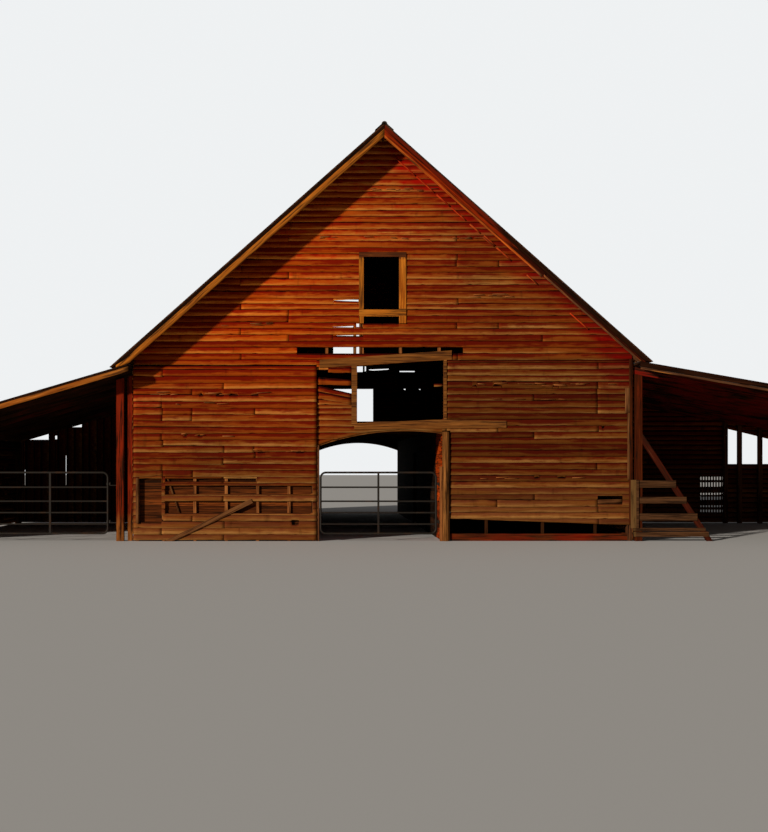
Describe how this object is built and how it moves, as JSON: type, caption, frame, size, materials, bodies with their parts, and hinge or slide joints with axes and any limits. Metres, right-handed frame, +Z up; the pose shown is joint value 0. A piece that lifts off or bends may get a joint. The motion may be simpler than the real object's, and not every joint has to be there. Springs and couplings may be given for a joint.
{
  "type": "barn with side sheds",
  "caption": "Weathered red gabled barn with an arched central aisle, a hay loft, missing and sprung boards, a crimped metal roof, an open shed along each side and hinged tube gates.",
  "frame": {"origin": "on the ground, at the middle of the outline of the roofs", "axes": "+X to the right along the front gable, +Y from the front gable to the back, +Z up"},
  "size_m": [21.48, 16.46, 8.5717],
  "materials": {
    "weathered_red": "flaking red stain",
    "old_red": "flaking red stain",
    "red_post": "worn red paint",
    "framing": "rough sawn",
    "bare_plank": "rough sawn",
    "tan_trim": "bare weathered boards",
    "log_wood": "peeled log",
    "roof_metal": "dull galvanised",
    "cap_metal": "galvanised",
    "gate_steel": "dull",
    "hinge_iron": "rusty"
  },
  "bodies": {
    "barn": {"front_wall_left": "weathered_red", "front_wall_right": "weathered_red", "front_over_door": "weathered_red", "front_gable": "weathered_red", "side_walls": "weathered_red", "left_shed_end": "weathered_red", "right_shed_end": "weathered_red", "shed_sides": "weathered_red", "back_wall": "old_red", "back_gable": "old_red", "corner_posts": "red_post", "ground_sills": "red_post", "raking_brace": "red_post", "wall_posts": "framing", "stall_posts": "framing", "door_posts": "framing", "wall_plates": "framing", "end_girts": "framing", "front_furring": "framing", "gable_studs": "framing", "main_rafters": "framing", "ridge_board": "framing", "shed_posts": "framing", "shed_beams": "framing", "shed_rafters": "framing", "shed_purlins": "framing", "loft_joists": "framing", "inner_boards": "bare_plank", "aisle_walls": "bare_plank", "loft_floor": "bare_plank", "roof_boards": "bare_plank", "window_frame": "tan_trim", "loft_frame": "tan_trim", "arch_boards": "tan_trim", "diagonal_plank": "tan_trim", "rake_boards": "tan_trim", "shed_fascias": "tan_trim", "hinge_board": "tan_trim", "log_post": "log_wood", "roof_sheets": "roof_metal", "shed_sheets": "roof_metal", "ridge_cap": "cap_metal", "hinge_bolts": "hinge_iron"},
    "aisle_gate": {"aisle_gate": "gate_steel"},
    "shed_gate": {"shed_gate": "gate_steel"}
  },
  "joints": [
    {"name": "aisle_gate_hinge", "type": "hinge", "parent": "barn", "child": "aisle_gate", "pos_m": [0.21, -7.652, 0.8], "axis": [0, 0, 1], "range_deg": [-90, 90]},
    {"name": "shed_gate_hinge", "type": "hinge", "parent": "barn", "child": "shed_gate", "pos_m": [-6.617, -7.62, 0.8], "axis": [0, 0, 1], "range_deg": [-90, 90]}
  ]
}
